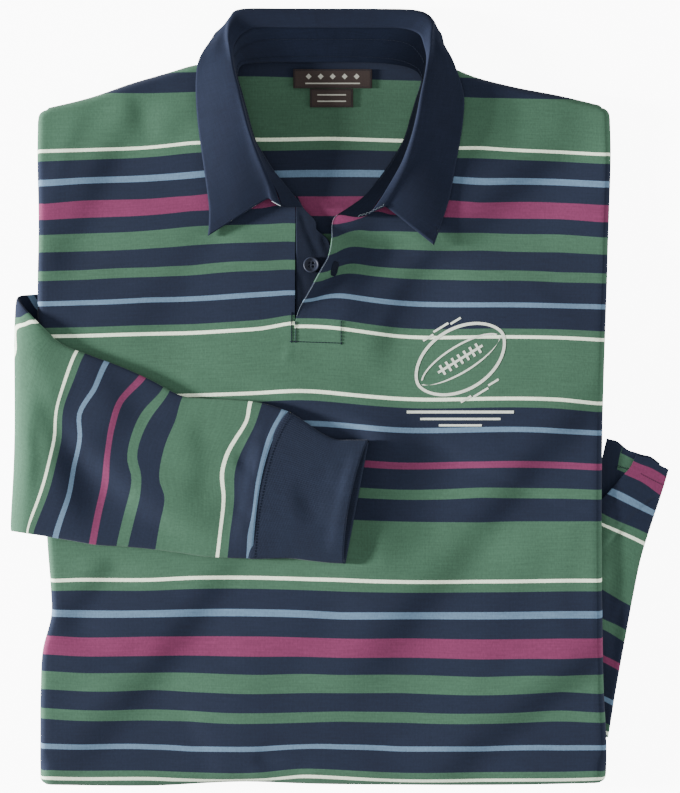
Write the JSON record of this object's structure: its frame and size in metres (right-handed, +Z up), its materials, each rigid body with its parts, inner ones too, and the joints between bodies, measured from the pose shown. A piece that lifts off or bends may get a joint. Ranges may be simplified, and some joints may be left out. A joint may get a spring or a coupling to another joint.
{
  "type": "rugby shirt",
  "caption": "Long-sleeved striped rugby shirt with a woven collar and button placket, folded flat with its tail tucked behind and one sleeve laid across the front.",
  "frame": {"origin": "centre of the folded shirt's outline, on the surface that it lies on", "axes": "+X to the viewer's right as the folded front is looked down on, +Y towards the collar, +Z up out of the front"},
  "size_m": [0.4941, 0.5836, 0.0228],
  "materials": {
    "striped_jersey": "heavy cotton jersey knitted in horizontal stripes of green, navy, maroon, light blue and cream",
    "navy_twill": "matt woven cotton",
    "navy_rib": "matt cotton rib knit",
    "button_plastic": "satin navy",
    "woven_label": "fine woven label, dark brown"
  },
  "bodies": {
    "root": {"back_panel": "striped_jersey", "button": "button_plastic", "collar_fall": "navy_twill", "collar_stand": "navy_twill", "folded_layers": "striped_jersey", "front_panel": "striped_jersey", "neck_label": "woven_label", "placket_under": "navy_twill", "placket_upper": "striped_jersey", "right_cuff": "navy_rib", "right_sleeve": "striped_jersey", "size_label": "woven_label", "tail_back": "striped_jersey", "tail_front": "striped_jersey"}
  },
  "joints": []
}
